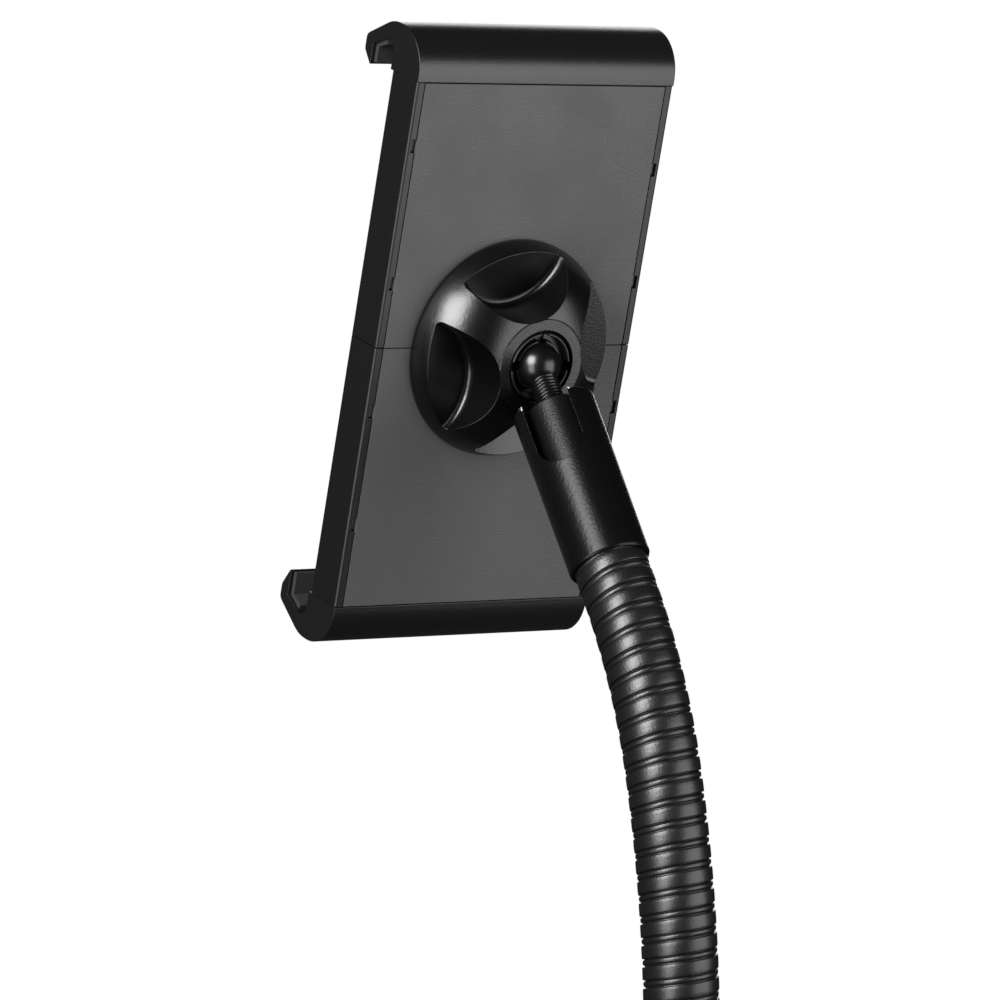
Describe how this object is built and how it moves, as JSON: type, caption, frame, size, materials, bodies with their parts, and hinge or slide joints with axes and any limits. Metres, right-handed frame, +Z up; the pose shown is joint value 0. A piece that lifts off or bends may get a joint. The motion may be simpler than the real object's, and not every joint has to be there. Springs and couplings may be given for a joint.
{
  "type": "tablet holder",
  "caption": "Spring-closed tablet holder with hooked sliding halves, a ball joint under a scooped clamp knob, and a banded gooseneck arm.",
  "frame": {"origin": "centre of the base ferrule's lower end, at the mouth of its threaded socket", "axes": "+Z up the arm, +X across the holder plate, +Y from the arm towards the tablet side"},
  "size_m": [0.106, 0.1809, 0.3734],
  "materials": {
    "shell_plastic": "black moulded plastic with a light grain",
    "panel_plastic": "black moulded plastic with a fine grain",
    "hook_plastic": "black moulded plastic with a satin face",
    "knob_plastic": "black satin plastic",
    "frame_plastic": "plain black plastic",
    "gear_plastic": "natural white plastic",
    "rubber": "soft black rubber",
    "arm_metal": "satin black coating",
    "ball_metal": "polished black coating",
    "steel": "zinc plated steel"
  },
  "bodies": {
    "arm": {"base_ferrule": "arm_metal", "gooseneck": "arm_metal", "sleeve": "arm_metal", "stud_core": "arm_metal"},
    "ball": {"ball_stud": "ball_metal"},
    "ball_clamp": {"collet": "frame_plastic"},
    "head": {"carrier_frame": "frame_plastic", "socket_boss": "frame_plastic", "boss_screws": "steel", "pinion_pin": "steel", "upper_spring": "steel", "lower_spring": "steel"},
    "knob": {"clamp_knob": "knob_plastic"},
    "upper_jaw": {"upper_shell": "shell_plastic", "upper_back_panel": "panel_plastic", "upper_hook": "hook_plastic", "upper_hook_pad": "rubber", "upper_face_pad": "rubber", "upper_rack": "gear_plastic", "upper_screws": "steel"},
    "lower_jaw": {"lower_shell": "shell_plastic", "lower_back_panel": "panel_plastic", "lower_hook": "hook_plastic", "lower_hook_pad": "rubber", "lower_face_pad": "rubber", "lower_rack": "gear_plastic", "lower_screws": "steel"},
    "pinion": {"sync_pinion": "gear_plastic"}
  },
  "joints": [
    {"name": "stud_swivel", "type": "hinge", "parent": "arm", "child": "ball", "pos_m": [0, 0.08465, 0.25648], "axis": [0, -0.5439, -0.8391], "continuous": true},
    {"name": "head_tilt", "type": "hinge", "parent": "ball", "child": "ball_clamp", "pos_m": [0, 0.08465, 0.25648], "axis": [1, 0, 0], "range_deg": [-1.6, 83.3]},
    {"name": "head_turn", "type": "hinge", "parent": "ball_clamp", "child": "head", "pos_m": [0, 0.08465, 0.25648], "axis": [0, -0.9604, -0.2785], "continuous": true},
    {"name": "knob_turn", "type": "hinge", "parent": "head", "child": "knob", "pos_m": [0, 0.08465, 0.25648], "axis": [0, -0.9604, -0.2785], "range_deg": [0, 360]},
    {"name": "upper_jaw_slide", "type": "slide", "parent": "head", "child": "upper_jaw", "axis": [0, -0.2785, 0.9604], "range_m": [0, 0.042], "stiffness_N_per_m": 150, "springref_m": -0.03, "deforming": ["upper_spring"]},
    {"name": "lower_jaw_slide", "type": "slide", "parent": "head", "child": "lower_jaw", "axis": [0, 0.2785, -0.9604], "range_m": [0, 0.042], "deforming": ["lower_spring"]},
    {"name": "pinion_spin", "type": "hinge", "parent": "head", "child": "pinion", "pos_m": [0, 0.10501, 0.26238], "axis": [0, -0.9604, -0.2785], "range_deg": [0, 301]}
  ],
  "couplings": [
    {"joint": "lower_jaw_slide", "follows": "upper_jaw_slide", "ratio": 1},
    {"joint": "pinion_spin", "follows": "upper_jaw_slide", "rad_per_m": 125}
  ]
}
